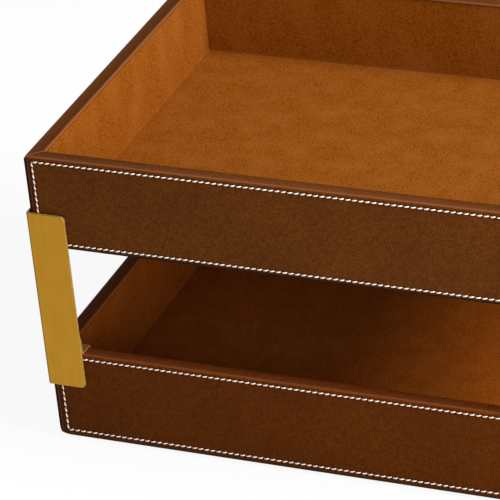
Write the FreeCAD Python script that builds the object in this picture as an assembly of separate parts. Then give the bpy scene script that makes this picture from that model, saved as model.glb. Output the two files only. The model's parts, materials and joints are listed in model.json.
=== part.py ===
# A stacking pair of leather-covered desk trays for papers. The upper tray is
# carried over the lower one by four brass corner brackets that hook on its rim.
# Millimetres, +Z up. The origin is under the middle of the lower tray.
import FreeCAD, Part
import math
import os

# Tray, measured over the leather
tray_width = 348.0              # left to right
tray_depth = 259.0              # front to back
tray_height = 61.0              # underside of the leather to the top of the rim
tray_pitch = 133.1              # underside of one tray to the underside of the next

# Sheets that a tray is made of
leather = 1.5                   # outer leather
board = 6.8                     # wooden boards, walls and floor alike
lining = 1.2                    # suede lining of the walls and the floor
felt = 1.0                      # felt under the tray

# How the leather is worked
rim_outer_radius = 2.0          # outer edge of the rim
rim_inner_radius = 2.0          # inner edge of the rim
rim_turn = 2.2                  # leather turned down inside the rim
base_radius = 5.0               # lower edge of the walls
corner_radius = 1.2             # upright corners of the tray
lining_gap = 0.2                # groove between the rim leather and the lining
felt_inset = 6.5                # felt, in from the outside of the tray
felt_corner_radius = 4.0

# Corner brackets, bent from brass sheet
plate = 1.5                     # sheet of the corner angle
leg_width = 24.8                # each leg, from the outer corner
bracket_height = 118.5
lower_grip = 22.3               # how far the angle reaches below the lower rim
leg_corner_radius = 3.0         # free corners of the legs
fold_radius = 0.3               # inside of every bend in the brass

# Strips brazed to the back of the angle
strip = 1.2                     # sheet of the hook and the ledge
strip_width = 11.0
hook_flange = 10.4              # hook's flange, above the rim
hook_lip = 8.0                  # hook's lip, down inside the rim
ledge_flange = 10.0             # ledge's flange, below the upper tray
ledge_depth = 16.0              # ledge, in from the face of the tray
strip_corner_radius = 1.5

# Clearance between pieces that lift apart
fit_gap = 0.3

# Sizes that follow
rim_top = felt + tray_height
rim_width = leather + board + leather
wall_core = leather + board
wall_lined = wall_core + lining
floor_top = felt + board
half_width = tray_width / 2
half_depth = tray_depth / 2
bracket_bottom = rim_top - lower_grip
up = FreeCAD.Vector(0, 0, 1)


class Plane:
    # A flat sheet of paper in space: it turns sketch points into space points.
    def __init__(self, origin, across, upward):
        self.origin = origin
        self.across = across
        self.upward = upward

    def point(self, a, b):
        return self.origin + self.across * a + self.upward * b


class Wall:
    # One wall of a tray: its outer lower corner, the way along it and the way in.
    def __init__(self, name, x, y, along, inward, length, ends_covered):
        self.name = name
        self.corner = FreeCAD.Vector(x, y, 0)
        self.along = along
        self.inward = inward
        self.length = length
        self.ends_covered = ends_covered

    def section(self, distance):
        return Plane(self.corner + self.along * distance, self.inward, up)

    def plan(self):
        return Plane(self.corner, self.along, self.inward)


x_axis = FreeCAD.Vector(1, 0, 0)
y_axis = FreeCAD.Vector(0, 1, 0)
walls = [
    Wall("front", -half_width, -half_depth, x_axis, y_axis, tray_width, True),
    Wall("right", half_width, -half_depth, y_axis, -x_axis, tray_depth, False),
    Wall("back", half_width, half_depth, -x_axis, -y_axis, tray_width, True),
    Wall("left", -half_width, half_depth, -y_axis, x_axis, tray_depth, False),
]
front_view = Plane(FreeCAD.Vector(0, -half_depth, 0), x_axis, up)
side_view = Plane(FreeCAD.Vector(-half_width, 0, 0), y_axis, up)
ground = Plane(FreeCAD.Vector(0, 0, 0), x_axis, y_axis)


# Outlines

def unit(a, b):
    size = math.hypot(a, b)
    return a / size, b / size


# Closed outline through corners (a, b, radius). A radius of 0 is a sharp corner.
def outline(plane, corners):
    stretches = []
    count = len(corners)
    for i in range(count):
        a, b, radius = corners[i]
        before = corners[i - 1]
        after = corners[(i + 1) % count]
        back = unit(before[0] - a, before[1] - b)
        ahead = unit(after[0] - a, after[1] - b)
        if radius <= 0:
            stretches.append([plane.point(a, b)])
            continue
        half_angle = math.acos(back[0] * ahead[0] + back[1] * ahead[1]) / 2
        cut = radius / math.tan(half_angle)
        inward = unit(back[0] + ahead[0], back[1] + ahead[1])
        rise = radius / math.sin(half_angle) - radius
        stretches.append([
            plane.point(a + back[0] * cut, b + back[1] * cut),
            plane.point(a + inward[0] * rise, b + inward[1] * rise),
            plane.point(a + ahead[0] * cut, b + ahead[1] * cut),
        ])
    edges = []
    for i in range(count):
        here = stretches[i]
        following = stretches[(i + 1) % count]
        if len(here) == 3:
            edges.append(Part.Arc(here[0], here[1], here[2]).toShape())
        if here[-1].distanceToPoint(following[0]) > 1e-6:
            edges.append(Part.LineSegment(here[-1], following[0]).toShape())
    return Part.Wire(edges)


def prism(plane, corners, direction, length):
    return Part.Face(outline(plane, corners)).extrude(direction * length)


# Corners of a rectangle, with one radius for its lower and one for its upper end.
def rectangle(left, right, low, high, low_radius=0.0, high_radius=0.0):
    return [
        (left, low, low_radius),
        (right, low, low_radius),
        (right, high, high_radius),
        (left, high, high_radius),
    ]


# Corners of a bent sheet: the path along one face, with the sheet on its left.
def bent_sheet(path, thickness):
    one_face = []
    other_face = []
    for i in range(len(path)):
        a, b = path[i]
        if 0 < i < len(path) - 1:
            before = unit(a - path[i - 1][0], b - path[i - 1][1])
            after = unit(path[i + 1][0] - a, path[i + 1][1] - b)
            turn = before[0] * after[1] - before[1] * after[0]
            near = fold_radius if turn < 0 else fold_radius + thickness
            far = fold_radius if turn > 0 else fold_radius + thickness
            share = thickness / (1 + before[0] * after[0] + before[1] * after[1])
            shift = (-(before[1] + after[1]) * share, (before[0] + after[0]) * share)
        else:
            start = path[max(i - 1, 0)]
            end = path[max(i, 1)]
            way = unit(end[0] - start[0], end[1] - start[1])
            near = 0.0
            far = 0.0
            shift = (-way[1] * thickness, way[0] * thickness)
        one_face.append((a, b, near))
        other_face.append((a + shift[0], b + shift[1], far))
    return one_face + other_face[::-1]


# Tray

# A flat sheet at height low, in from the outside of the tray by inset.
def flat_sheet(inset, low, thickness, radius=0.0):
    corners = rectangle(inset - half_width, half_width - inset,
                        inset - half_depth, half_depth - inset, radius, radius)
    return prism(ground, corners, up, thickness).translated(up * low)


# The whole tray as a solid block with its worked edges, taken in by a sheet.
def tray_block(inset):
    top = rim_top - inset
    bottom = felt + inset
    low_radius = base_radius - inset
    high_radius = rim_outer_radius - inset
    width = rectangle(inset - half_width, half_width - inset, bottom, top, low_radius, high_radius)
    depth = rectangle(inset - half_depth, half_depth - inset, bottom, top, low_radius, high_radius)
    from_front = prism(front_view, width, y_axis, tray_depth)
    from_side = prism(side_view, depth, x_axis, tray_width)
    from_above = flat_sheet(inset, bottom, top - bottom, corner_radius - inset)
    return from_front.common(from_side).common(from_above)


# Front and back boards run the full width; the side boards stand between them.
def wall_board(wall, block):
    end = leather if wall.ends_covered else wall_core
    corners = [
        (leather, felt + leather, 0),
        (wall_core, felt + leather, 0),
        (wall_core, rim_top - leather, rim_inner_radius - leather),
        (leather, rim_top - leather, 0),
    ]
    slab = prism(wall.section(end), corners, wall.along, wall.length - 2 * end)
    return slab.common(block)


# Leather goes under the wall, up the outside, over the rim and down inside it.
# Its ends are mitred, and what the boards fill is cut from it.
def wall_cover(wall, block, boards):
    corners = [
        (0, felt, 0),
        (wall_core, felt, 0),
        (wall_core, rim_top - rim_turn, 0),
        (rim_width, rim_top - rim_turn, 0),
        (rim_width, rim_top, rim_inner_radius),
        (0, rim_top, 0),
    ]
    solid = prism(wall.section(0), corners, wall.along, wall.length)
    mitre = [
        (0, 0, 0),
        (wall.length, 0, 0),
        (wall.length - rim_width, rim_width, 0),
        (rim_width, rim_width, 0),
    ]
    mitred = solid.common(prism(wall.plan(), mitre, up, rim_top))
    return mitred.common(block).cut(boards)


# Wall linings of the front and back run corner to corner, the others between them.
def wall_lining(wall):
    end = wall_core if wall.ends_covered else wall_lined
    corners = rectangle(wall_core, wall_lined, floor_top, rim_top - rim_turn - lining_gap)
    return prism(wall.section(end), corners, wall.along, wall.length - 2 * end)


def make_tray():
    pieces = {}
    inner_block = tray_block(leather)
    for wall in walls:
        pieces[wall.name + "_board"] = wall_board(wall, inner_block)
    boards = Part.makeCompound(list(pieces.values()))
    outer_block = tray_block(0.0)
    for wall in walls:
        pieces[wall.name + "_cover"] = wall_cover(wall, outer_block, boards)
        pieces[wall.name + "_lining"] = wall_lining(wall)
    pieces["floor_board"] = flat_sheet(wall_core, felt, board)
    pieces["floor_lining"] = flat_sheet(wall_lined, floor_top, lining)
    pieces["base_felt"] = flat_sheet(felt_inset, 0.0, felt, felt_corner_radius)
    return pieces


# Bracket at the front left corner, in distances from that corner of the tray

corner_plan = Plane(FreeCAD.Vector(-half_width, -half_depth, 0), x_axis, y_axis)
corner_front = Plane(FreeCAD.Vector(-half_width, -half_depth, 0), x_axis, up)
corner_side = Plane(FreeCAD.Vector(-half_width, -half_depth, 0), y_axis, up)
angle_outside = -fit_gap - plate
leg_end = angle_outside + leg_width
hook_start = leg_end - strip_width
ledge_start = angle_outside + (leg_width - strip_width) / 2
bracket_reach = leg_width + ledge_depth + rim_top + tray_pitch


# Cuts a piece of the bracket to its outline as one view of it shows it.
def trim(solid, plane, corners, direction):
    cutter = prism(plane, corners, direction, 2 * bracket_reach)
    return solid.common(cutter.translated(direction * -bracket_reach))


# Two legs in one bent sheet, with their free corners rounded.
def corner_angle():
    plan = bent_sheet([(leg_end, -fit_gap), (-fit_gap, -fit_gap), (-fit_gap, leg_end)], plate)
    solid = prism(corner_plan, plan, up, bracket_height).translated(up * bracket_bottom)
    top = bracket_bottom + bracket_height
    leg = [
        (angle_outside, bracket_bottom, 0),
        (leg_end, bracket_bottom, leg_corner_radius),
        (leg_end, top, leg_corner_radius),
        (angle_outside, top, 0),
    ]
    return trim(trim(solid, corner_front, leg, y_axis), corner_side, leg, x_axis)


# Flange on the back of the angle, tab over the lower rim, lip down inside the tray.
def rim_hook():
    tab = rim_top + fit_gap
    flange_top = tab + strip + hook_flange
    lip_face = rim_width + fit_gap
    lip_end = tab - hook_lip
    path = [(-fit_gap, flange_top), (-fit_gap, tab), (lip_face, tab), (lip_face, lip_end)]
    section = Plane(corner_side.point(0, 0) + x_axis * hook_start, y_axis, up)
    solid = prism(section, bent_sheet(path, strip), x_axis, strip_width)
    face = rectangle(hook_start, leg_end, lip_end, flange_top,
                     strip_corner_radius, strip_corner_radius)
    return trim(solid, corner_front, face, y_axis)


# Flange on the middle of the leg and a ledge that the upper tray stands on.
def tray_ledge():
    top = tray_pitch - fit_gap
    flange_end = top - strip - ledge_flange
    ledge_end = ledge_start + strip_width
    path = [(ledge_depth, top), (-fit_gap, top), (-fit_gap, flange_end)]
    section = Plane(corner_side.point(0, 0) + x_axis * ledge_start, y_axis, up)
    solid = prism(section, bent_sheet(path, strip), x_axis, strip_width)
    face = rectangle(ledge_start, ledge_end, flange_end, top, strip_corner_radius)
    shelf = rectangle(ledge_start, ledge_end, -fit_gap, ledge_depth, 0.0, strip_corner_radius)
    return trim(trim(solid, corner_front, face, y_axis), corner_plan, shelf, up)


def make_bracket():
    return {
        "corner_angle": corner_angle(),
        "rim_hook": rim_hook(),
        "tray_ledge": tray_ledge(),
    }


# All pieces in place

def make_pieces():
    pieces = {}
    middle = FreeCAD.Vector(0, 0, 0)
    for name, solid in make_tray().items():
        pieces["lower_" + name] = solid
        pieces["upper_" + name] = solid.translated(up * tray_pitch)
    for name, solid in make_bracket().items():
        right = solid.mirror(middle, x_axis)
        pieces["front_left_" + name] = solid
        pieces["front_right_" + name] = right
        pieces["back_left_" + name] = solid.mirror(middle, y_axis)
        pieces["back_right_" + name] = right.mirror(middle, y_axis)
    return pieces


os.makedirs("parts", exist_ok=True)
for name, shape in make_pieces().items():
    solids = shape.Solids
    piece = solids[0] if len(solids) == 1 else Part.makeCompound(solids)
    piece.exportStep(os.path.join("parts", name + ".step"))
    print(name, len(solids), round(piece.Volume, 1))
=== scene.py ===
import json
import math
import bpy
import bmesh
from mathutils import Matrix, Vector


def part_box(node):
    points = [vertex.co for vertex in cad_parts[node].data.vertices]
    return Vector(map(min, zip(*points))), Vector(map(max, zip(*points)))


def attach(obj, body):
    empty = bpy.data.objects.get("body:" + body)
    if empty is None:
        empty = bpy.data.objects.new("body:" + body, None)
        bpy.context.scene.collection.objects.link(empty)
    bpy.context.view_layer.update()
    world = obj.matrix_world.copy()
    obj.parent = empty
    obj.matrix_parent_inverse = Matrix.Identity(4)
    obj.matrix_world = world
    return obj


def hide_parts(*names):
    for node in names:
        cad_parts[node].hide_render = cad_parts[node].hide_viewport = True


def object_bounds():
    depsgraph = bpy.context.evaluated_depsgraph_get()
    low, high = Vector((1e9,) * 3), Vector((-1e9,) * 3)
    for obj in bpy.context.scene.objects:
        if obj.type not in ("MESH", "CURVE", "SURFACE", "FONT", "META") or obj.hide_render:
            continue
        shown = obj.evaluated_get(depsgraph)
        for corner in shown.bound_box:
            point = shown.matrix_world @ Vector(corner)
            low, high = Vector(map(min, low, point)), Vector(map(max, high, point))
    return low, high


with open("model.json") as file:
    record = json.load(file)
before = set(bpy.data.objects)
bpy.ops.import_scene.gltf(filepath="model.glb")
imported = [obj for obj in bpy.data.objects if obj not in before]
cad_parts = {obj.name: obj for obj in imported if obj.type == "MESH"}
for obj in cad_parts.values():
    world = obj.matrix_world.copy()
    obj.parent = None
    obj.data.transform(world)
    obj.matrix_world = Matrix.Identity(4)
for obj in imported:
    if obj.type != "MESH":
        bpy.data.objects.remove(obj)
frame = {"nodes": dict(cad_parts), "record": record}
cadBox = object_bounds()
scene = bpy.context.scene
print("frame loaded")


def mm(value):
    return value / 1000


def linear(hexColour):  # sRGB hex to the linear colour that sockets take
    channels = [int(hexColour[i:i + 2], 16) / 255 for i in (1, 3, 5)]
    return [c / 12.92 if c <= 0.04045 else ((c + 0.055) / 1.055) ** 2.4 for c in channels] + [1]


def addNode(tree, kind, sockets, output=0, **settings):  # sockets take a value or another node's output
    node = tree.nodes.new(kind)
    for name, value in settings.items():
        setattr(node, name, value)
    for name, value in sockets.items():
        if isinstance(value, bpy.types.NodeSocket):
            tree.links.new(value, node.inputs[name])
        else:
            node.inputs[name].default_value = value
    return node.outputs[output]


def startMaterial(name, sockets):
    material = bpy.data.materials.new(name)
    material.use_nodes = True
    shader = material.node_tree.nodes["Principled BSDF"]
    for socket, value in sockets.items():
        shader.inputs[socket].default_value = value
    return material, material.node_tree, shader


def perSize(size):  # texture scale for features of that size in mm
    return 1000 / size


tilt = (0.6, 0.4, 0.3)  # turns a noise so that no flat face lies along its own grid


# A wall is modelled lying along X with its outer face at Y 0, then turned into place.
wallTurns = {"front": 0, "right": 90, "back": 180, "left": 270}
trayHeights = {}
for tray in ("lower", "upper"):
    low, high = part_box(tray + "_front_cover")
    trayHeights[tray] = (low.z, high.z)
frontLow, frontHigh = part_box("lower_front_cover")
sideLow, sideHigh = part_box("lower_left_cover")
boardLow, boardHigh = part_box("lower_front_board")
trayWidth = frontHigh.x - frontLow.x
trayDepth = sideHigh.y - sideLow.y
rimWidth = frontHigh.y - frontLow.y
leather = boardLow.y - frontLow.y
wallCore = boardHigh.y - frontLow.y
trayPitch = trayHeights["upper"][0] - trayHeights["lower"][0]
insideHalf = Vector((-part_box("lower_left_lining")[1].x, -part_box("lower_front_lining")[1].y, 0))
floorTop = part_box("lower_floor_lining")[1].z

coverShape = {
    "rimTurn": 2.2,          # mm of leather turned down inside
    "rimOuterRadius": 2.0,
    "rimInnerRadius": 1.6,
    "foldSteps": 8,          # flat strips that a fold is made of
    "innerFoldSteps": 6,
    "baseRadius": 3.6,
    "cornerRadius": 1.2,
    "cornerShares": (0.2, 0.35, 0.5, 0.7, 1.0),  # of its radius, where the corner's curve has points
    "cornerFall": 0.45,      # how far the face curves back between the seam and the corner
    "fallPower": 1.5,        # the higher, the nearer to the corner it does so
    "footRound": 1.1,        # how far the lower corners are worn round
    "footReach": 8.0,
    "pitch": 3.9,            # of the stitches
    "lower": (3.1, 5.5, 6.2),  # seam below the rim, above the underside and in from the corner
    "upper": (3.0, 4.3, 5.4),  # sewn by hand, so each tray has its own
    "grooveHalf": 1.1,
    "grooveDepth": 0.28,
    "holeDepth": 0.16,
    "grooveSharp": 1.6,      # how steeply the leather dips into the groove
    "puff": 0.05,            # leather raised beside the seam
    "puffAway": 2.2,         # middle of the raised strip, in half widths of the groove
    "paleFold": 0.7,         # half width of the painted highlight along the start of a fold
    "outerPale": 0.68,
    "innerPale": 0.75,
    "outerPaleAt": 0.6,      # middle of the painted highlight, as a share of the fold's radius
    "innerPaleAt": 0.7,
    "innerPaleWider": 1.4,   # the inner line is this many times as wide
    "turnShade": 0.75,       # painted shade at the end of the turned leather, in the gap above the lining
    "turnDark": 0.7,
    "baseShade": 3.4,        # height of the painted shade band along the bottom edge, where the leather turns under
    "baseDark": 0.85,
    "baseSteep": 3.4,        # how fast the band gets dark
    "faceDepth": 1.2,        # mm behind the outer face, as far as the painted shade along the seam goes
    "shadeSharp": 1.3,       # how fast that shade fades away from the seam
    "sameSpot": 0.02,        # mm, points nearer than this become one
    "edge": 0.3,             # cut edges of the leather
}


calf = {
    "deep": "#3c1b03",       # in the pores
    "plain": "#5f330e",
    "warm": "#6a3a0f",
    "top": "#5f3308",        # painted light: the rim's top, which faces the lamps, is tinted yellower
    "paintedHighlight": "#925838",  # colour of the painted highlights on the rim's folds, along the mitre and beside the corners
    "handled": "#784010",    # painted sheen: paler yet along the middle of the long rims
    "burnishAndShade": "#2c1004",  # partly burnished dark, partly painted shade where the face curves away between the seam and the corner
    # painted shade: along the seam, at the turned leather's end, along the bottom edge and at the corner
    "groove": "#140703",
    "lowerTint": "#f3de70",  # painted light: the lower tray is tinted redder and darker, for the redder light it gets under the upper tray
    "lowerRimLight": "#9c4d0c",
    "blotch": 45.0,          # mm
    "cloud": 9.0,
    "crease": 3.0,
    "pore": 0.5,             # drawn coarser than the real 0.2 mm, which would not show
    "poreDepth": 0.1,
    "cloudDepth": 0.3,
    "rimSheenFrom": 140.0,    # mm from the middle, where the painted sheen on the upper rims starts
    "rimSheenTo": 50.0,
    "redderFrom": 172.0,     # and where the lower tray's long rims start to take the painted redder light
    "redderTo": 155.0,
    "burnishAndShadeStrip": 5.0,
    "darkCorner": 1.9,       # painted shade: the corner itself, where the leather turns away from the light, is darkest
    "cornerLine": 2.7,       # where a faint painted highlight runs beside it, on the corner's rounded edge
    "cornerLineCore": 0.2,
    "cornerLineHalf": 0.5,
    "cornerPale": 0.3,
    "mitreLine": 0.9,        # half width of the line where two covers meet on the rim: partly paler burnished edges, partly a painted highlight on the raised mitre
    "mitreHighlight": 0.9,
}


def makeCalf():  # waxed vegetable-tanned calf: low soft shine, even brown, fine grain, painted highlights where it folds, painted shade along its seams and edges
    material, tree, shader = startMaterial("waxedCalfLeather", {"Specular IOR Level": 0.03})
    place = addNode(tree, "ShaderNodeTexCoord", {}, "Object")
    fold = addNode(tree, "ShaderNodeAttribute", {}, "Fac", attribute_name="fold")
    groove = addNode(tree, "ShaderNodeAttribute", {}, "Fac", attribute_name="groove")
    top = addNode(tree, "ShaderNodeAttribute", {}, "Fac", attribute_name="top")
    blotches = addNode(tree, "ShaderNodeTexNoise", {"Vector": place, "Scale": perSize(calf["blotch"])})
    clouds = addNode(tree, "ShaderNodeTexNoise", {
        "Vector": place, "Scale": perSize(calf["cloud"]), "Detail": 4.0})
    tilted = addNode(tree, "ShaderNodeMapping", {"Vector": place, "Rotation": tilt})
    pores = addNode(tree, "ShaderNodeTexNoise", {
        "Vector": tilted, "Scale": perSize(calf["pore"]), "Detail": 3.0, "Roughness": 0.7})

    broad = addNode(tree, "ShaderNodeMapRange", {0: blotches, 1: 0.35, 2: 0.65})
    cloudy = addNode(tree, "ShaderNodeMapRange", {0: clouds, 1: 0.35, 2: 0.75, 4: 0.45})
    creases = addNode(tree, "ShaderNodeTexNoise", {
        "Vector": tilted, "Scale": perSize(calf["crease"]), "Detail": 2.0})
    pitted = addNode(tree, "ShaderNodeMapRange", {0: pores, 1: 0.61, 2: 0.39})
    creased = addNode(tree, "ShaderNodeMapRange", {0: creases, 1: 0.6, 2: 0.35, 4: 0.2})
    pitted = addNode(tree, "ShaderNodeMath", {0: pitted, 1: creased}, operation="ADD", use_clamp=True)
    colour = addNode(tree, "ShaderNodeMix", {
        0: broad, 6: linear(calf["plain"]), 7: linear(calf["warm"])}, 2, data_type="RGBA")
    colour = addNode(tree, "ShaderNodeMix", {
        0: cloudy, 6: colour, 7: linear(calf["warm"])}, 2, data_type="RGBA")
    # painted light on the rim's top
    yellow = addNode(tree, "ShaderNodeMath", {0: top, 1: 0.8}, operation="MULTIPLY")

    parts = addNode(tree, "ShaderNodeSeparateXYZ", {0: place}).node.outputs
    fromMiddle = addNode(tree, "ShaderNodeMath", {0: parts["X"]}, operation="ABSOLUTE")
    # painted sheen across the middle of the upper rims
    handled = addNode(tree, "ShaderNodeMapRange", {
        0: fromMiddle, 1: mm(calf["rimSheenFrom"]), 2: mm(calf["rimSheenTo"])})
    edge = addNode(tree, "ShaderNodeMix", {
        0: handled, 6: linear(calf["top"]), 7: linear(calf["handled"])}, 2, data_type="RGBA")
    isLower = addNode(tree, "ShaderNodeMath", {
        0: parts["Z"], 1: trayHeights["upper"][0]}, operation="LESS_THAN")
    # painted light: the lower tray's long rims are lit redder and paler
    onFront = addNode(tree, "ShaderNodeMapRange", {
        0: fromMiddle, 1: mm(calf["redderFrom"]), 2: mm(calf["redderTo"])})
    redder = addNode(tree, "ShaderNodeMix", {
        0: onFront, 6: linear(calf["top"]), 7: linear(calf["lowerRimLight"])}, 2, data_type="RGBA")
    edge = addNode(tree, "ShaderNodeMix", {0: isLower, 6: edge, 7: redder}, 2, data_type="RGBA")
    colour = addNode(tree, "ShaderNodeMix", {0: yellow, 6: colour, 7: edge}, 2, data_type="RGBA")
    colour = addNode(tree, "ShaderNodeMix", {
        0: pitted, 6: colour, 7: linear(calf["deep"])}, 2, data_type="RGBA")
    # painted light: the whole lower tray is tinted redder and darker
    colour = addNode(tree, "ShaderNodeMix", {
        0: isLower, 6: colour, 7: linear(calf["lowerTint"])}, 2, data_type="RGBA", blend_type="MULTIPLY")

    fromSide = addNode(tree, "ShaderNodeMath", {0: trayWidth / 2, 1: fromMiddle}, operation="SUBTRACT")
    fromFront = addNode(tree, "ShaderNodeMath", {0: parts["Y"]}, operation="ABSOLUTE")
    fromFront = addNode(tree, "ShaderNodeMath", {0: trayDepth / 2, 1: fromFront}, operation="SUBTRACT")
    along = addNode(tree, "ShaderNodeMath", {0: fromSide, 1: fromFront}, operation="MAXIMUM")
    # partly burnish, partly painted shade between the seam and the corner
    reach = mm(calf["burnishAndShadeStrip"])
    strip = addNode(tree, "ShaderNodeMapRange", {0: along, 1: reach * 0.7, 2: reach, 3: 0.85, 4: 0.0})
    offTop = addNode(tree, "ShaderNodeMath", {0: 1.0, 1: top}, operation="SUBTRACT", use_clamp=True)
    strip = addNode(tree, "ShaderNodeMath", {0: strip, 1: offTop}, operation="MULTIPLY")
    colour = addNode(tree, "ShaderNodeMix", {
        0: strip, 6: colour, 7: linear(calf["burnishAndShade"])}, 2, data_type="RGBA")
    # painted shade along the corner itself
    ridge = mm(calf["darkCorner"])
    dark = addNode(tree, "ShaderNodeMapRange", {0: along, 1: ridge * 0.6, 2: ridge, 3: 0.9, 4: 0.0})
    dark = addNode(tree, "ShaderNodeMath", {0: dark, 1: offTop}, operation="MULTIPLY")
    # painted highlight beside the corner, on its rounded edge
    beside = addNode(tree, "ShaderNodeMath", {0: along, 1: mm(calf["cornerLine"])}, operation="SUBTRACT")
    beside = addNode(tree, "ShaderNodeMath", {0: beside}, operation="ABSOLUTE")
    beside = addNode(tree, "ShaderNodeMapRange", {
        0: beside, 1: mm(calf["cornerLineCore"]), 2: mm(calf["cornerLineHalf"]),
        3: calf["cornerPale"], 4: 0.0})

    # partly burnished edges, partly a painted highlight on the raised mitre
    mitre = addNode(tree, "ShaderNodeMath", {0: fromSide, 1: fromFront}, operation="SUBTRACT")
    mitre = addNode(tree, "ShaderNodeMath", {0: mitre}, operation="ABSOLUTE")
    half = mm(calf["mitreLine"])
    worn = addNode(tree, "ShaderNodeMapRange", {
        0: mitre, 1: half * 0.4, 2: half, 3: calf["mitreHighlight"], 4: 0.0})
    worn = addNode(tree, "ShaderNodeMath", {0: worn, 1: top}, operation="MULTIPLY")
    # painted highlights: the rim's folds, the mitre and the line beside each corner
    pale = addNode(tree, "ShaderNodeMath", {0: worn, 1: fold}, operation="MAXIMUM")
    pale = addNode(tree, "ShaderNodeMath", {0: pale, 1: beside}, operation="MAXIMUM")
    colour = addNode(tree, "ShaderNodeMix", {
        0: pale, 6: colour, 7: linear(calf["paintedHighlight"])}, 2, data_type="RGBA")
    # painted shade from the seam, the turned leather's end, the bottom edge and the corner
    groove = addNode(tree, "ShaderNodeMath", {0: groove, 1: dark}, operation="MAXIMUM")
    colour = addNode(tree, "ShaderNodeMix", {
        0: groove, 6: colour, 7: linear(calf["groove"])}, 2, data_type="RGBA")
    tree.links.new(colour, shader.inputs["Base Color"])

    rubbed = addNode(tree, "ShaderNodeMapRange", {0: clouds, 1: 0.3, 2: 0.7, 3: 0.42, 4: 0.54})
    tree.links.new(rubbed, shader.inputs["Roughness"])
    grain = addNode(tree, "ShaderNodeBump", {
        "Height": pores, "Distance": mm(calf["poreDepth"]), "Strength": 0.5})
    slack = addNode(tree, "ShaderNodeBump", {
        "Height": clouds, "Distance": mm(calf["cloudDepth"]), "Strength": 0.2, "Normal": grain})
    tree.links.new(slack, shader.inputs["Normal"])
    return material


suede = {
    "deep": "#441a00",
    "plain": "#9e560a",
    "raised": "#a46228",     # nap brushed up, pinker; also the colour of the painted highlight where wall and floor meet
    "lowerTint": "#f9e4aa",  # painted light: the lower tray's suede is tinted redder and darker too, for the redder light under the upper tray
    "bloom": "#d08a4a",      # fibre tips at grazing angles
    "nap": 0.62,             # mm, drawn coarser than real nap
    "napDepth": 0.25,
    "stroke": 16.0,
    "foldHighlight": 1.1,         # half width of the painted highlight where wall and floor meet
}


def makeSuede():  # brushed suede split: no shine, a pale bloom at grazing angles, fine mottled nap, a painted highlight where wall and floor meet
    material, tree, shader = startMaterial("brushedSuede", {
        "Roughness": 0.92, "Specular IOR Level": 0.1, "Sheen Weight": 0.03, "Sheen Roughness": 0.5,
        "Sheen Tint": linear(suede["bloom"])})
    place = addNode(tree, "ShaderNodeTexCoord", {}, "Object")
    tilted = addNode(tree, "ShaderNodeMapping", {"Vector": place, "Rotation": tilt})
    nap = addNode(tree, "ShaderNodeTexNoise", {
        "Vector": tilted, "Scale": perSize(suede["nap"]), "Detail": 3.0, "Roughness": 0.7})
    upright = addNode(tree, "ShaderNodeMapping", {"Vector": place, "Scale": (1.0, 1.0, 0.35)})
    strokes = addNode(tree, "ShaderNodeTexNoise", {
        "Vector": upright, "Scale": perSize(suede["stroke"]), "Detail": 4.0, "Roughness": 0.55})
    mottled = addNode(tree, "ShaderNodeMapRange", {0: nap, 1: 0.37, 2: 0.57})
    brushed = addNode(tree, "ShaderNodeMapRange", {0: strokes, 1: 0.42, 2: 0.72, 4: 0.3})
    colour = addNode(tree, "ShaderNodeMix", {
        0: mottled, 6: linear(suede["deep"]), 7: linear(suede["plain"])}, 2, data_type="RGBA")
    colour = addNode(tree, "ShaderNodeMix", {
        0: brushed, 6: colour, 7: linear(suede["raised"])}, 2, data_type="RGBA")

    # painted highlight along the rounded joint of wall and floor
    parts = addNode(tree, "ShaderNodeSeparateXYZ", {0: place}).node.outputs
    fromSide = addNode(tree, "ShaderNodeMath", {0: parts["X"]}, operation="ABSOLUTE")
    fromSide = addNode(tree, "ShaderNodeMath", {0: insideHalf.x, 1: fromSide}, operation="SUBTRACT")
    fromFront = addNode(tree, "ShaderNodeMath", {0: parts["Y"]}, operation="ABSOLUTE")
    fromFront = addNode(tree, "ShaderNodeMath", {0: insideHalf.y, 1: fromFront}, operation="SUBTRACT")
    inset = addNode(tree, "ShaderNodeMath", {0: fromSide, 1: fromFront}, operation="MINIMUM")
    level = addNode(tree, "ShaderNodeMath", {0: parts["Z"], 1: trayPitch}, operation="MODULO")
    level = addNode(tree, "ShaderNodeMath", {0: level, 1: floorTop}, operation="SUBTRACT")
    away = addNode(tree, "ShaderNodeCombineXYZ", {0: inset, 1: level})
    away = addNode(tree, "ShaderNodeVectorMath", {0: away}, "Value", operation="LENGTH")
    half = mm(suede["foldHighlight"])
    line = addNode(tree, "ShaderNodeMapRange", {0: away, 1: half * 0.4, 2: half, 3: 0.32, 4: 0.0})
    colour = addNode(tree, "ShaderNodeMix", {
        0: line, 6: colour, 7: linear(suede["raised"])}, 2, data_type="RGBA")
    # painted light: the lower tray's suede is tinted redder and darker
    isLower = addNode(tree, "ShaderNodeMath", {
        0: parts["Z"], 1: trayHeights["upper"][0]}, operation="LESS_THAN")
    colour = addNode(tree, "ShaderNodeMix", {
        0: isLower, 6: colour, 7: linear(suede["lowerTint"])}, 2, data_type="RGBA", blend_type="MULTIPLY")
    tree.links.new(colour, shader.inputs["Base Color"])
    rough = addNode(tree, "ShaderNodeBump", {
        "Height": nap, "Distance": mm(suede["napDepth"]), "Strength": 0.5})
    tree.links.new(rough, shader.inputs["Normal"])
    return material


brass = {
    "metal": "#b98827",
    "dull": "#af7f23",
    "bend": "#3e2e0c",       # painted dark reflection on the outside of the bend
    "edge": "#f6d48c",       # painted highlight where the cut edges catch the light
    "brush": 0.5,            # mm across a brush line, drawn coarser than real
    "brushLength": 26.0,
    "brushDepth": 0.01,
    "cloud": 12.0,           # patches of duller lacquer
    "fileMark": 0.6,
    "fileDepth": 0.05,
    "bendReflectionFrom": 1.5,         # mm from the outer corner, where the painted dark reflection starts
    "bendReflectionTo": 1.0,
}


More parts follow.
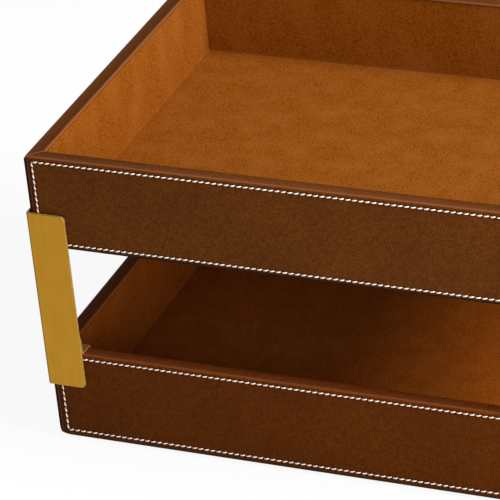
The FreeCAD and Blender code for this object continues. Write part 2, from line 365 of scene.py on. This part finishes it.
def makeBrass():  # satin brass sheet, brushed upwards and lacquered: even yellow with faint upright lines, and a painted dark reflection along the outside of the angle's bend
    material, tree, shader = startMaterial("satinBrass", {"Metallic": 1.0})
    place = addNode(tree, "ShaderNodeTexCoord", {}, "Object")
    squeeze = (1.0, 1.0, brass["brush"] / brass["brushLength"])
    upright = addNode(tree, "ShaderNodeMapping", {"Vector": place, "Scale": squeeze})
    lines = addNode(tree, "ShaderNodeTexNoise", {
        "Vector": upright, "Scale": perSize(brass["brush"]), "Detail": 3.0, "Roughness": 0.65})
    clouds = addNode(tree, "ShaderNodeTexNoise", {
        "Vector": place, "Scale": perSize(brass["cloud"]), "Detail": 3.0})
    brushed = addNode(tree, "ShaderNodeMapRange", {0: lines, 1: 0.35, 2: 0.75})
    colour = addNode(tree, "ShaderNodeMix", {
        0: brushed, 6: linear(brass["metal"]), 7: linear(brass["dull"])}, 2, data_type="RGBA")
    parts = addNode(tree, "ShaderNodeSeparateXYZ", {0: place}).node.outputs
    fromSide = addNode(tree, "ShaderNodeMath", {0: parts["X"]}, operation="ABSOLUTE")
    fromSide = addNode(tree, "ShaderNodeMath", {0: cadBox[1][0], 1: fromSide}, operation="SUBTRACT")
    fromFront = addNode(tree, "ShaderNodeMath", {0: parts["Y"]}, operation="ABSOLUTE")
    fromFront = addNode(tree, "ShaderNodeMath", {0: cadBox[1][1], 1: fromFront}, operation="SUBTRACT")
    fromBend = addNode(tree, "ShaderNodeMath", {0: fromSide, 1: fromFront}, operation="MAXIMUM")
    # painted dark reflection along the outside of the bend
    bendReflection = addNode(tree, "ShaderNodeMapRange", {
        0: fromBend, 1: mm(brass["bendReflectionFrom"]), 2: mm(brass["bendReflectionTo"]), 4: 0.85})
    colour = addNode(tree, "ShaderNodeMix", {
        0: bendReflection, 6: colour, 7: linear(brass["bend"])}, 2, data_type="RGBA")
    tree.links.new(colour, shader.inputs["Base Color"])
    hazy = addNode(tree, "ShaderNodeMapRange", {0: clouds, 1: 0.3, 2: 0.7, 3: 0.38, 4: 0.46})
    tree.links.new(hazy, shader.inputs["Roughness"])
    scratched = addNode(tree, "ShaderNodeBump", {
        "Height": lines, "Distance": mm(brass["brushDepth"]), "Strength": 0.3})
    tree.links.new(scratched, shader.inputs["Normal"])
    return material


def makeBrassEdge():  # filed edges of the sheet: rougher, crossed by file marks, painted paler as a highlight
    material, tree, shader = startMaterial("filedBrassEdgeHighlight", {"Metallic": 1.0, "Roughness": 0.7})
    place = addNode(tree, "ShaderNodeTexCoord", {}, "Object")
    marks = addNode(tree, "ShaderNodeTexNoise", {
        "Vector": place, "Scale": perSize(brass["fileMark"]), "Detail": 3.0})
    filed = addNode(tree, "ShaderNodeMapRange", {0: marks, 1: 0.35, 2: 0.65})
    colour = addNode(tree, "ShaderNodeMix", {
        0: filed, 6: linear(brass["metal"]), 7: linear(brass["edge"])}, 2, data_type="RGBA")
    tree.links.new(colour, shader.inputs["Base Color"])
    ridged = addNode(tree, "ShaderNodeBump", {
        "Height": marks, "Distance": mm(brass["fileDepth"]), "Strength": 0.5})
    tree.links.new(ridged, shader.inputs["Normal"])
    return material


thread = {
    "bright": "#fce8d8",
    "shade": "#cd9f88",
    "plies": 1.6,            # turns of the twist in one stitch
    "twistDepth": 0.06,      # mm
}


def makeThread():  # waxed linen thread: cream, slightly glossy, twist just showing, painted shade in pink on the end away from the light
    material, tree, shader = startMaterial("waxedLinenThread", {"Roughness": 0.5, "Specular IOR Level": 0.4})
    wrap = addNode(tree, "ShaderNodeUVMap", {}, uv_map="thread")
    turned = addNode(tree, "ShaderNodeMapping", {"Vector": wrap, "Scale": (thread["plies"], 1.0, 1.0)})
    twist = addNode(tree, "ShaderNodeTexWave", {
        "Vector": turned, "Scale": 0.35}, 1, bands_direction="DIAGONAL")
    across = addNode(tree, "ShaderNodeSeparateXYZ", {0: wrap}, "X")
    # painted shade on one end of each stitch
    shaded = addNode(tree, "ShaderNodeMapRange", {0: across, 1: 0.1, 2: -0.45})
    faint = addNode(tree, "ShaderNodeMapRange", {0: twist, 1: 1.0, 2: 0.0, 4: 0.35})
    amount = addNode(tree, "ShaderNodeMath", {0: shaded, 1: faint}, operation="MAXIMUM")
    colour = addNode(tree, "ShaderNodeMix", {
        0: amount, 6: linear(thread["bright"]), 7: linear(thread["shade"])}, 2, data_type="RGBA")
    tree.links.new(colour, shader.inputs["Base Color"])
    ridged = addNode(tree, "ShaderNodeBump", {
        "Height": twist, "Distance": mm(thread["twistDepth"]), "Strength": 0.4})
    tree.links.new(ridged, shader.inputs["Normal"])
    return material


felt = {
    "deep": "#2c1a10",
    "pale": "#4a3020",
    "tuft": "#3a2417",
    "fibre": 0.8,            # mm
    "fibreDepth": 0.3,
    "tuftSize": 5.0,
}


def makeFelt():  # pressed wool felt: matt, matted fibres
    material, tree, shader = startMaterial("pressedWoolFelt", {
        "Roughness": 1.0, "Specular IOR Level": 0.1, "Sheen Weight": 0.3})
    place = addNode(tree, "ShaderNodeTexCoord", {}, "Object")
    fibres = addNode(tree, "ShaderNodeTexNoise", {
        "Vector": place, "Scale": perSize(felt["fibre"]), "Detail": 5.0, "Roughness": 0.8})
    tufts = addNode(tree, "ShaderNodeTexNoise", {
        "Vector": place, "Scale": perSize(felt["tuftSize"]), "Detail": 3.0})
    matted = addNode(tree, "ShaderNodeMapRange", {0: fibres, 1: 0.3, 2: 0.7})
    tufted = addNode(tree, "ShaderNodeMapRange", {0: tufts, 1: 0.4, 2: 0.8, 4: 0.5})
    colour = addNode(tree, "ShaderNodeMix", {
        0: matted, 6: linear(felt["deep"]), 7: linear(felt["pale"])}, 2, data_type="RGBA")
    colour = addNode(tree, "ShaderNodeMix", {
        0: tufted, 6: colour, 7: linear(felt["tuft"])}, 2, data_type="RGBA")
    tree.links.new(colour, shader.inputs["Base Color"])
    fuzzy = addNode(tree, "ShaderNodeBump", {
        "Height": fibres, "Distance": mm(felt["fibreDepth"]), "Strength": 0.8})
    tree.links.new(fuzzy, shader.inputs["Normal"])
    return material


board = {
    "early": "#d8bd90",
    "late": "#b99a6c",
    "grain": 2.0,            # mm
    "grainDepth": 0.1,
}


def makeBoard():  # bare poplar ply, hidden under the leather
    material, tree, shader = startMaterial("poplarPly", {"Roughness": 0.7})
    place = addNode(tree, "ShaderNodeTexCoord", {}, "Object")
    drawn = addNode(tree, "ShaderNodeMapping", {"Vector": place, "Scale": (0.06, 1.0, 1.0)})
    grain = addNode(tree, "ShaderNodeTexNoise", {
        "Vector": drawn, "Scale": perSize(board["grain"]), "Detail": 4.0, "Roughness": 0.6})
    rings = addNode(tree, "ShaderNodeMapRange", {0: grain, 1: 0.3, 2: 0.7})
    colour = addNode(tree, "ShaderNodeMix", {
        0: rings, 6: linear(board["late"]), 7: linear(board["early"])}, 2, data_type="RGBA")
    tree.links.new(colour, shader.inputs["Base Color"])
    raised = addNode(tree, "ShaderNodeBump", {
        "Height": grain, "Distance": mm(board["grainDepth"]), "Strength": 0.5})
    tree.links.new(raised, shader.inputs["Normal"])
    return material


materials = {
    "outer_leather": makeCalf(),
    "suede_lining": makeSuede(),
    "satin_brass": makeBrass(),
    "brass_edge": makeBrassEdge(),
    "base_felt": makeFelt(),
    "wood_board": makeBoard(),
    "thread": makeThread(),
}
print("materials made")


slotOfNode = {row["node"]: row["material_slot"] for row in frame["record"]["subparts"]}
for nodeName, node in frame["nodes"].items():
    node.data.materials.clear()
    node.data.materials.append(materials[slotOfNode[nodeName]])


sharpFrom = 35   # degrees between faces that shade as an edge
softenFrom = 38  # degrees between faces whose edge is broken


def finishPiece(bm, name, body, material, replaced=()):
    mesh = bpy.data.meshes.new(name)
    bm.to_mesh(mesh)
    bm.free()
    mesh.shade_smooth()
    mesh.set_sharp_from_angle(angle=math.radians(sharpFrom))
    piece = bpy.data.objects.new(name, mesh)
    scene.collection.objects.link(piece)
    mesh.materials.append(material)
    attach(piece, body)
    if replaced:
        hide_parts(*replaced)
    return piece


def softenEdges(piece, width, segments=2):
    modifier = piece.modifiers.new("softEdges", "BEVEL")
    modifier.width = mm(width)
    modifier.segments = segments
    modifier.limit_method = "ANGLE"
    modifier.angle_limit = math.radians(softenFrom)


def cutAcross(bm, place, direction, clearOuter=False):
    everything = bm.verts[:] + bm.edges[:] + bm.faces[:]
    return bmesh.ops.bisect_plane(
        bm, geom=everything, plane_co=place, plane_no=direction, clear_outer=clearOuter)


def near(a, b):
    return abs(a - b) < 1e-5


def edgesWhere(bm, rule):
    return [e for e in bm.edges if all(rule(v.co) for v in e.verts)]


def bevelEdges(bm, edges, radius, segments):
    bmesh.ops.bevel(bm, geom=edges, offset=mm(radius), segments=segments, profile=0.5,
                    affect="EDGES", material=-1)


def sweepOutline(outline, left, right):  # a thin sheet along X with this outline of (y, z)
    bm = bmesh.new()
    points = [bm.verts.new((left, y, z)) for y, z in outline]
    edges = [bm.edges.new((points[i], points[i + 1])) for i in range(len(points) - 1)]
    grown = bmesh.ops.extrude_edge_only(bm, edges=edges)["geom"]
    farVerts = [item for item in grown if isinstance(item, bmesh.types.BMVert)]
    bmesh.ops.translate(bm, verts=farVerts, vec=(right - left, 0, 0))
    return bm


def wallLength(side):
    return trayWidth if side in ("front", "back") else trayDepth


def wallPlacement(side):
    turn = Matrix.Rotation(math.radians(wallTurns[side]), 4, "Z")
    half = Vector((wallLength(side) / 2, 0, 0))
    reach = trayDepth / 2 if side in ("front", "back") else trayWidth / 2
    return turn @ Matrix.Translation(Vector((0, -reach, 0)) - half)


def seamLayout(tray, side):  # the seam is a rectangle: its two ends, its two heights, stitch counts
    fromTop, fromBase, left = [mm(size) for size in coverShape[tray]]
    right = wallLength(side) - left
    low = trayHeights[tray][0] + fromBase
    high = trayHeights[tray][1] - fromTop
    across = round((right - left) / mm(coverShape["pitch"]))
    upward = round((high - low) / mm(coverShape["pitch"]))
    return left, right, low, high, across, upward


def seamDistance(x, z, layout):  # how far a point of the face is from the seam
    left, right, low, high = layout[:4]
    beyondX = max(left - x, x - right, 0)
    beyondZ = max(low - z, z - high, 0)
    if beyondX or beyondZ:
        return math.hypot(beyondX, beyondZ)
    return min(x - left, right - x, z - low, high - z)


def makeCoverShell(side, heights, layout):
    left, right, across = layout[0], layout[1], layout[4]
    length = wallLength(side)
    step = (right - left) / across / 2
    before = math.ceil(left / step) + 1
    start = left - before * step
    turned = heights[1] - mm(coverShape["rimTurn"])
    outline = [
        (wallCore, heights[0]),
        (0, heights[0]),
        (0, heights[1]),
        (rimWidth, heights[1]),
        (rimWidth, turned),
    ]
    bm = sweepOutline(outline, start, length - start)
    folds = [                # z, y, radius, segments
        (heights[0], 0, coverShape["baseRadius"], coverShape["foldSteps"]),
        (heights[1], 0, coverShape["rimOuterRadius"], coverShape["foldSteps"]),
        (heights[1], rimWidth, coverShape["rimInnerRadius"], coverShape["innerFoldSteps"]),
    ]
    for z, y, radius, segments in folds:
        bevelEdges(bm, edgesWhere(bm, lambda p: near(p.z, z) and near(p.y, y)), radius, segments)
    return bm, start, step


def gridCover(bm, side, start, step, top, layout):  # cuts the shell where the seam and its holes need points
    left, right, low, high, _, upward = layout
    length = wallLength(side)
    half = mm(coverShape["grooveHalf"])
    corner = mm(coverShape["cornerRadius"])
    count = round((length - 2 * start) / step)
    places = [start + step * i for i in range(1, count)]
    places += [left - half, left + half, right - half, right + half]
    for share in coverShape["cornerShares"]:
        places += [corner * share, length - corner * share]
    for x in places:
        cutAcross(bm, (x, 0, 0), (1, 0, 0))
    rise = (high - low) / upward / 2
    levels = [low + rise * i for i in range(2 * upward + 1)]
    levels += [low - half, low + half, high - half, high + half]
    cutAcross(bm, (0, 0, top - mm(coverShape["rimTurn"] - coverShape["turnShade"])), (0, 0, 1))
    for z in levels:
        face = [f for f in bm.faces if all(v.co.y < leather for v in f.verts)]
        geometry = set(face)
        for f in face:
            geometry.update(f.edges)
            geometry.update(f.verts)
        bmesh.ops.bisect_plane(bm, geom=list(geometry), plane_co=(0, 0, z), plane_no=(0, 0, 1))


def workCover(bm, side, base, layout):  # presses the seam in, puffs the leather beside it, rounds the ends
    left, right, low, high, across, upward = layout
    length = wallLength(side)
    half = mm(coverShape["grooveHalf"])
    corner = mm(coverShape["cornerRadius"])
    pitchX = (right - left) / across
    pitchZ = (high - low) / upward
    for vert in bm.verts:
        x, y, z = vert.co
        outside = y < rimWidth / 3
        if outside:
            distance = seamDistance(x, z, layout)
            onLine = math.exp(-(distance / half * coverShape["grooveSharp"]) ** 2)
            beside = math.exp(-((distance - coverShape["puffAway"] * half) / half) ** 2)
            alongX = abs(math.cos(math.pi * (x - left) / pitchX))
            alongZ = abs(math.cos(math.pi * (z - low) / pitchZ))
            hole = alongX if min(abs(z - low), abs(z - high)) < half else alongZ
            press = mm(coverShape["grooveDepth"]) + mm(coverShape["holeDepth"]) * hole
            vert.co.y += onLine * press - beside * mm(coverShape["puff"])
        fromEnd = max(min(x, length - x), 0)
        if outside and fromEnd < left:
            vert.co.y += mm(coverShape["cornerFall"]) * (1 - fromEnd / left) ** coverShape["fallPower"]
        if fromEnd < corner:
            inset = corner - math.sqrt(corner ** 2 - (corner - fromEnd) ** 2)
            vert.co.y = max(vert.co.y, inset)
        rise = (z - base) / mm(coverShape["footReach"])
        reach = fromEnd / mm(coverShape["footReach"])
        if outside and rise < 1 and reach < 1:
            worn = mm(coverShape["footRound"]) * (1 - rise) ** 2 * (1 - reach) ** 2
            vert.co.y += worn
            vert.co.x += worn if x < length / 2 else -worn


def paintCover(bm, heights, layout):  # painted highlights along the rim's folds, and painted shade along the seam, at the turned leather's end and along the bottom edge
    topLayer = bm.verts.layers.float.new("top")
    foldLayer = bm.verts.layers.float.new("fold")
    grooveLayer = bm.verts.layers.float.new("groove")
    half = mm(coverShape["grooveHalf"])
    width = mm(coverShape["paleFold"])
    innerWidth = width * coverShape["innerPaleWider"]
    outerAt = mm(coverShape["rimOuterRadius"]) * coverShape["outerPaleAt"]
    innerAt = mm(coverShape["rimInnerRadius"]) * coverShape["innerPaleAt"]
    for vert in bm.verts:
        x, y, z = vert.co
        drop = heights[1] - z
        vert[topLayer] = max(0, 1 - drop / mm(coverShape["rimOuterRadius"]))
        outer = math.hypot(y - outerAt, drop) / width
        inner = math.hypot(y - rimWidth, drop - innerAt) / innerWidth
        outerPale = coverShape["outerPale"] * math.exp(-outer ** 2)
        innerPale = coverShape["innerPale"] * math.exp(-inner ** 2)
        vert[foldLayer] = max(outerPale, innerPale)
        # painted shade along the seam
        onFace = y < mm(coverShape["faceDepth"])
        away = seamDistance(x, z, layout) / half * coverShape["shadeSharp"]
        shade = math.exp(-away ** 2) if onFace else 0
        rise = (z - heights[0]) / mm(coverShape["baseShade"])
        # painted shade where the turned leather ends above the lining
        turned = (drop - mm(coverShape["rimTurn"])) / mm(coverShape["turnShade"]) + 1
        if y > rimWidth / 2 and rise > 2:
            shade = coverShape["turnDark"] * min(1, max(0, turned))
        # painted shade along the bottom edge
        band = min(coverShape["baseDark"], coverShape["baseSteep"] * max(0, 1 - rise))
        vert[grooveLayer] = max(shade, band)


def makeCover(tray, side):
    heights = trayHeights[tray]
    layout = seamLayout(tray, side)
    bm, start, step = makeCoverShell(side, heights, layout)
    gridCover(bm, side, start, step, heights[1], layout)
    # A cut of the seam can fall on the end of a fold.
    bmesh.ops.remove_doubles(bm, verts=bm.verts[:], dist=mm(coverShape["sameSpot"]))
    workCover(bm, side, heights[0], layout)
    bmesh.ops.recalc_face_normals(bm, faces=bm.faces[:])
    outward = [f for f in bm.faces if abs(f.normal.y) > 0.9 and f.calc_center_median().y < leather]
    if outward[0].normal.y > 0:
        bmesh.ops.reverse_faces(bm, faces=bm.faces[:])
    bmesh.ops.solidify(bm, geom=bm.faces[:], thickness=leather)
    length = wallLength(side)
    for place, direction in (((0, 0, 0), (-1, 1, 0)), ((length, 0, 0), (1, 1, 0))):
        cut = cutAcross(bm, place, direction, clearOuter=True)
        edges = [item for item in cut["geom_cut"] if isinstance(item, bmesh.types.BMEdge)]
        bmesh.ops.holes_fill(bm, edges=edges)
    paintCover(bm, heights, layout)
    bmesh.ops.transform(bm, matrix=wallPlacement(side), verts=bm.verts[:])
    name = tray + side.capitalize() + "Cover"
    cadNode = tray + "_" + side + "_cover"
    piece = finishPiece(bm, name, tray + "_tray", materials["outer_leather"], [cadNode])
    softenEdges(piece, coverShape["edge"])


for tray in ("lower", "upper"):
    for side in wallTurns:
        makeCover(tray, side)
print("leather covers made")


stitch = {
    "length": 3.5,           # mm, of the 3.9 mm between holes
    "thickness": 0.85,
    "slant": 9.0,            # degrees, as saddle stitches lie
    "sides": 8,
    "rings": 6,
    "endSize": 0.55,         # thickness at an end, and what it gains towards the middle
    "swell": 0.45,
    "lift": 0.35,            # middle of the thread out of its seat at mid stitch
    "dip": 0.3,              # and how far its ends go in below the seat
    "seat": 0.7,             # share of the groove's depth that a stitch lies in
}


def makeStitchForm():  # one stitch along X, arched out of the leather towards -Y, thinner at its ends
    bm = bmesh.new()
    wrap = bm.loops.layers.uv.new("thread")
    length = mm(stitch["length"])
    radius = mm(stitch["thickness"]) / 2
    turn = Matrix.Rotation(math.radians(90), 4, "Y")
    for i in range(stitch["rings"]):
        share = i / (stitch["rings"] - 1)
        across = 2 * share - 1
        size = radius * (stitch["endSize"] + stitch["swell"] * math.sqrt(max(0, 1 - across ** 4)))
        out = mm(stitch["lift"]) * (1 - abs(across) ** 3) - mm(stitch["dip"]) * abs(across) ** 3
        place = Matrix.Translation((length * across / 2, -out, 0))
        bmesh.ops.create_circle(bm, segments=stitch["sides"], radius=size, matrix=place @ turn)
    bm.verts.ensure_lookup_table()
    count = stitch["sides"]
    for ring in range(stitch["rings"] - 1):
        first = bm.verts[ring * count:(ring + 1) * count]
        second = bm.verts[(ring + 1) * count:(ring + 2) * count]
        rims = [e for e in bm.edges if all(v in first for v in e.verts) or all(v in second for v in e.verts)]
        bmesh.ops.bridge_loops(bm, edges=rims)
        bm.verts.ensure_lookup_table()
    bmesh.ops.holes_fill(bm, edges=[e for e in bm.edges if e.is_boundary])
    bmesh.ops.recalc_face_normals(bm, faces=bm.faces[:])
    for face in bm.faces:
        for loop in face.loops:
            x, y, z = loop.vert.co
            loop[wrap].uv = (x / length, math.atan2(z, y) / (2 * math.pi))
    mesh = bpy.data.meshes.new("stitchForm")
    bm.to_mesh(mesh)
    bm.free()
    return mesh


def placeStitch(bm, form, x, y, z, angle):
    known = len(bm.verts)
    bm.from_mesh(form)
    bm.verts.ensure_lookup_table()
    turn = Matrix.Rotation(math.radians(angle), 4, "Y")
    bmesh.ops.transform(bm, matrix=Matrix.Translation((x, y, z)) @ turn, verts=bm.verts[known:])


def makeStitches(tray, side, form):
    left, right, low, high, across, upward = seamLayout(tray, side)
    bm = bmesh.new()
    pitch = (right - left) / across
    rise = (high - low) / upward
    seat = mm(coverShape["grooveDepth"]) * stitch["seat"]
    for i in range(across):
        for z in (low, high):
            placeStitch(bm, form, left + pitch * (i + 0.5), seat, z, -stitch["slant"])
    for i in range(upward):
        for x in (left, right):
            placeStitch(bm, form, x, seat, low + rise * (i + 0.5), 90 - stitch["slant"])
    bmesh.ops.transform(bm, matrix=wallPlacement(side), verts=bm.verts[:])
    name = tray + side.capitalize() + "Stitches"
    finishPiece(bm, name, tray + "_tray", materials["thread"])


stitchForm = makeStitchForm()
for tray in ("lower", "upper"):
    for side in wallTurns:
        makeStitches(tray, side, stitchForm)
bpy.data.meshes.remove(stitchForm)
print("stitches made")


panel = {
    "edge": 0.5,             # mm, rolled edge of the suede
    "cell": 12.0,            # mm between points of the sheet
    "slack": 0.08,
    "ripples": ((61, 37), (53, 71)),  # radians per metre along the sheet and up it
    "margin": 1.0,           # mm at the edges that stay flat
    "thinnest": 5.0,         # a side shorter than this is the sheet's thickness
}


def makePanel(tray, part):
    cadNode = tray + "_" + part + "_lining"
    low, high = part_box(cadNode)
    bm = bmesh.new()
    size = high - low
    place = Matrix.Translation((low + high) / 2) @ Matrix.Diagonal((*size, 1))
    bmesh.ops.create_cube(bm, size=1, matrix=place)
    for axis in range(3):
        count = int(size[axis] / mm(panel["cell"]))
        direction = [0, 0, 0]
        direction[axis] = 1
        for i in range(1, count):
            middle = Vector(low)
            middle[axis] += size[axis] * i / count
            cutAcross(bm, middle, direction)
    broad = [i for i in range(3) if size[i] > mm(panel["thinnest"])]
    thin = min(range(3), key=lambda i: size[i])
    (alongX, upX), (alongY, upY) = panel["ripples"]
    for vert in bm.verts:
        if all(min(vert.co[i] - low[i], high[i] - vert.co[i]) > mm(panel["margin"]) for i in broad):
            x, y, z = vert.co
            wave = math.sin(x * alongX + z * upX) * math.sin(y * alongY + z * upY)
            centre = (low[thin] + high[thin]) / 2
            outside = 1 if vert.co[thin] > centre else -1
            facing = 1 if centre < 0 or part == "floor" else -1
            if outside == facing:
                vert.co[thin] += wave * mm(panel["slack"])
    name = tray + part.capitalize() + "Lining"
    piece = finishPiece(bm, name, tray + "_tray", materials["suede_lining"], [cadNode])
    softenEdges(piece, panel["edge"], 3)


for tray in ("lower", "upper"):
    for part in list(wallTurns) + ["floor"]:
        makePanel(tray, part)
print("linings made")


bracket = {
    "plate": 1.5,            # mm, sheet of the angle
    "strip": 1.2,            # sheet of the hook and ledge
    "fold": 0.3,             # inside of a bend
    "legCorner": 3.0,
    "stripCorner": 1.5,
    "edge": 0.22,            # broken edges
    "bendSteps": 6,          # flat strips round the outside of a bend
    "insideSteps": 3,
    "legSteps": 8,
    "stripSteps": 5,
}


def markEdges(bm, axis, ends):  # the faces across the sheet get the filed finish and its painted highlight
    bm.normal_update()
    for face in bm.faces:
        middle = face.calc_center_median()
        atEnd = any(near(middle[i], place) for i, place in ends)
        face.material_index = 1 if atEnd or abs(face.normal[axis]) > 0.05 else 0
    return bm


def makeAngle():
    low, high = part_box("front_left_corner_angle")
    sheet = mm(bracket["plate"])
    bm = bmesh.new()
    outline = [
        (low.x, low.y),
        (high.x, low.y),
        (high.x, low.y + sheet),
        (low.x + sheet, low.y + sheet),
        (low.x + sheet, high.y),
        (low.x, high.y),
    ]
    base = bm.faces.new([bm.verts.new((x, y, low.z)) for x, y in outline])
    grown = bmesh.ops.extrude_face_region(bm, geom=[base])["geom"]
    upper = [item for item in grown if isinstance(item, bmesh.types.BMVert)]
    bmesh.ops.translate(bm, verts=upper, vec=(0, 0, high.z - low.z))
    bmesh.ops.recalc_face_normals(bm, faces=bm.faces[:])
    bevelEdges(bm, edgesWhere(bm, lambda p: near(p.x, low.x) and near(p.y, low.y)),
               bracket["fold"] + bracket["plate"], bracket["bendSteps"])
    inner = (low.x + sheet, low.y + sheet)
    bevelEdges(bm, edgesWhere(bm, lambda p: near(p.x, inner[0]) and near(p.y, inner[1])),
               bracket["fold"], bracket["insideSteps"])
    for z in (low.z, high.z):
        bevelEdges(bm, edgesWhere(bm, lambda p: near(p.x, high.x) and near(p.z, z)),
                   bracket["legCorner"], bracket["legSteps"])
        bevelEdges(bm, edgesWhere(bm, lambda p: near(p.y, high.y) and near(p.z, z)),
                   bracket["legCorner"], bracket["legSteps"])
    return markEdges(bm, 2, ((0, high.x), (1, high.y)))


def makeStrip(path, nearRadii, left, right):  # path is the face that touches the angle, as (y, z)
    bm = sweepOutline(path, left, right)
    for (y, z), radius in zip(path[1:-1], nearRadii):
        bend = edgesWhere(bm, lambda p: near(p.y, y) and near(p.z, z))
        bevelEdges(bm, bend, radius, bracket["bendSteps"])
    return bm


def thicken(bm, sheet):  # inwards, away from the face that touches the angle
    bmesh.ops.recalc_face_normals(bm, faces=bm.faces[:])
    bm.faces.ensure_lookup_table()
    flat = max(bm.faces, key=lambda f: f.calc_area() if abs(f.normal.y) > 0.9 else 0)
    if flat.normal.y > 0:
        bmesh.ops.reverse_faces(bm, faces=bm.faces[:])
    bmesh.ops.solidify(bm, geom=bm.faces[:], thickness=sheet)
    return bm


def makeHook():
    low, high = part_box("front_left_rim_hook")
    sheet = mm(bracket["strip"])
    rimTop = trayHeights["lower"][1]
    gap = frontLow.y - (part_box("front_left_corner_angle")[0].y + mm(bracket["plate"]))
    tab = rimTop + gap
    lip = high.y - sheet
    path = [(low.y, high.z), (low.y, tab), (lip, tab), (lip, low.z)]
    bm = makeStrip(path, (bracket["fold"] + bracket["strip"], bracket["fold"]), low.x, high.x)
    thicken(bm, sheet)
    for z in (low.z, high.z):
        for x in (low.x, high.x):
            corner = edgesWhere(bm, lambda p: near(p.x, x) and near(p.z, z))
            bevelEdges(bm, corner, bracket["stripCorner"], bracket["stripSteps"])
    return markEdges(bm, 0, ((2, low.z), (2, high.z)))


def makeLedge():
    low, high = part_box("front_left_tray_ledge")
    sheet = mm(bracket["strip"])
    path = [(low.y, low.z), (low.y, high.z), (high.y, high.z)]
    bm = makeStrip(path, (bracket["fold"] + bracket["strip"],), low.x, high.x)
    thicken(bm, sheet)
    for x in (low.x, high.x):
        lowCorner = edgesWhere(bm, lambda p: near(p.x, x) and near(p.z, low.z))
        bevelEdges(bm, lowCorner, bracket["stripCorner"], bracket["stripSteps"])
        farCorner = edgesWhere(bm, lambda p: near(p.x, x) and near(p.y, high.y))
        bevelEdges(bm, farCorner, bracket["stripCorner"], bracket["stripSteps"])
    return markEdges(bm, 0, ((2, low.z), (1, high.y)))


bracketCorners = {
    "front_left": (1, 1),
    "front_right": (-1, 1),
    "back_left": (1, -1),
    "back_right": (-1, -1),
}


def makeBrackets(part, maker):
    for corner, (flipX, flipY) in bracketCorners.items():
        bm = maker()
        bmesh.ops.scale(bm, vec=(flipX, flipY, 1), verts=bm.verts[:])
        bmesh.ops.recalc_face_normals(bm, faces=bm.faces[:])
        cadNode = corner + "_" + part
        words = cadNode.split("_")
        name = words[0] + "".join(word.capitalize() for word in words[1:])
        body = "bracket_" + corner
        piece = finishPiece(bm, name, body, materials["satin_brass"], [cadNode])
        piece.data.materials.append(materials["brass_edge"])
        softenEdges(piece, bracket["edge"])


makeBrackets("corner_angle", makeAngle)
makeBrackets("rim_hook", makeHook)
makeBrackets("tray_ledge", makeLedge)
print("brackets made")


studio = {
    "floorColour": "#fbfaf9",
    "floorSize": 60.0,       # metres, out to the horizon of a low view
    "floorDrop": 0.2,        # mm, so that the floor and the felt don't share one plane
    "floorGlow": 0.92,       # share of plain white in what the camera sees of the floor
    "worldLight": 0.25,
    "lamps": [               # name, place, size, power
        ("keyLamp", (1.585, -0.05, 1.514), 0.9, 63),
        ("lowLamp", (0.66, -0.72, 0.36), 0.5, 5.8),
    ],
    "aim": (-0.1, -0.05, 0.1),
}


def makeFloor():
    bm = bmesh.new()
    under = Matrix.Translation((0, 0, -mm(studio["floorDrop"])))
    bmesh.ops.create_grid(bm, x_segments=4, y_segments=4, size=studio["floorSize"] / 2, matrix=under)
    mesh = bpy.data.meshes.new("studioFloor")
    bm.to_mesh(mesh)
    bm.free()
    floor = bpy.data.objects.new("studioFloor", mesh)
    scene.collection.objects.link(floor)
    material, tree, shader = startMaterial("palePaper", {
        "Roughness": 0.9, "Base Color": linear(studio["floorColour"])})
    path = addNode(tree, "ShaderNodeLightPath", {}).node.outputs
    seen = addNode(tree, "ShaderNodeMath", {
        0: path["Is Camera Ray"], 1: path["Is Glossy Ray"]}, operation="MAXIMUM")
    seen = addNode(tree, "ShaderNodeMath", {0: seen, 1: path["Is Transmission Ray"]}, operation="MAXIMUM")
    share = addNode(tree, "ShaderNodeMath", {0: seen, 1: studio["floorGlow"]}, operation="MULTIPLY")
    glow = addNode(tree, "ShaderNodeEmission", {"Color": linear("#ffffff")})
    mixed = addNode(tree, "ShaderNodeMixShader", {0: share, 1: shader.outputs[0], 2: glow})
    tree.links.new(mixed, tree.nodes["Material Output"].inputs["Surface"])
    mesh.materials.append(material)


def makeWorld():
    world = bpy.data.worlds.new("softRoom")
    world.use_nodes = True
    scene.world = world
    background = world.node_tree.nodes["Background"]
    background.inputs["Color"].default_value = (1, 1, 1, 1)
    background.inputs["Strength"].default_value = studio["worldLight"]


def makeLamps():
    for name, place, size, power in studio["lamps"]:
        lamp = bpy.data.lights.new(name, "AREA")
        lamp.size = size
        lamp.energy = power
        holder = bpy.data.objects.new(name, lamp)
        scene.collection.objects.link(holder)
        holder.location = place
        holder.rotation_euler = (Vector(studio["aim"]) - Vector(place)).to_track_quat("-Z", "Y").to_euler()
        holder.visible_camera = False


view = {
    "place": (0.6927, -1.68674, 1.13084),
    "aim": (-0.03378, -0.1295, 0.15112),
    "roll": -5.792,          # degrees
    "lens": 247.85,          # mm
    "sensor": 36,
    "nearest": 0.05,         # metres
    "farthest": 50,
}


def makeCamera():
    data = bpy.data.cameras.new("camera")
    camera = bpy.data.objects.new("camera", data)
    scene.collection.objects.link(camera)
    camera.location = view["place"]
    level = (Vector(view["aim"]) - Vector(view["place"])).to_track_quat("-Z", "Y")
    roll = Matrix.Rotation(math.radians(view["roll"]), 3, "Z").to_quaternion()
    camera.rotation_euler = (level @ roll).to_euler()
    data.lens = view["lens"]
    data.sensor_width = view["sensor"]
    data.clip_start = view["nearest"]
    data.clip_end = view["farthest"]
    scene.camera = camera


makeFloor()
makeWorld()
makeLamps()
makeCamera()
scene.view_settings.view_transform = "Standard"
print("studio made")
